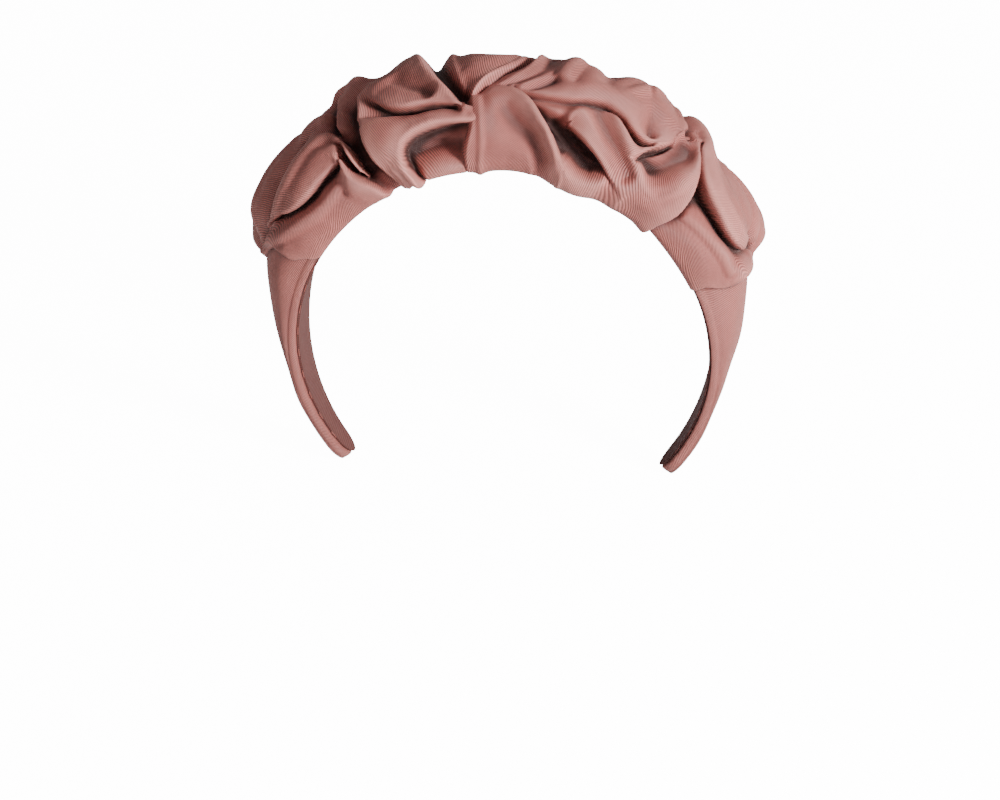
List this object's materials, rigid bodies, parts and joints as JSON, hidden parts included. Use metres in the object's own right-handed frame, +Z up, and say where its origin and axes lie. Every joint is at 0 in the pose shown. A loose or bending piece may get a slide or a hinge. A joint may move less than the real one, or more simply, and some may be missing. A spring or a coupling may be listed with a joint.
{
  "type": "knotted headband",
  "caption": "Padded knotted headband: a sprung hoop with a foam crescent, covered in ribbed cloth that is draped, crossed at the crown and tacked into puffs.",
  "frame": {"origin": "centre of the circle that grips the head, midway between the front and back edges", "axes": "+X across the head towards the wearer's left, +Y towards the back of the head, +Z up through the crown"},
  "size_m": [0.1807, 0.056, 0.1572],
  "materials": {
    "drape_cloth": "ribbed twill with a soft sheen",
    "lining_ribbon": "fine grosgrain ribbon",
    "hoop_plastic": "matte",
    "foam": "open-cell foam",
    "thread": "twisted polyester thread"
  },
  "bodies": {
    "root": {"hoop": "hoop_plastic", "hoop_lining": "lining_ribbon", "foam_pad": "foam", "base_cover": "drape_cloth", "left_drape": "drape_cloth", "right_drape": "drape_cloth", "centre_tack": "thread", "left_upper_tack": "thread", "left_lower_tack": "thread", "right_upper_tack": "thread", "right_lower_tack": "thread", "front_edge_stitches": "thread", "back_edge_stitches": "thread"}
  },
  "joints": []
}
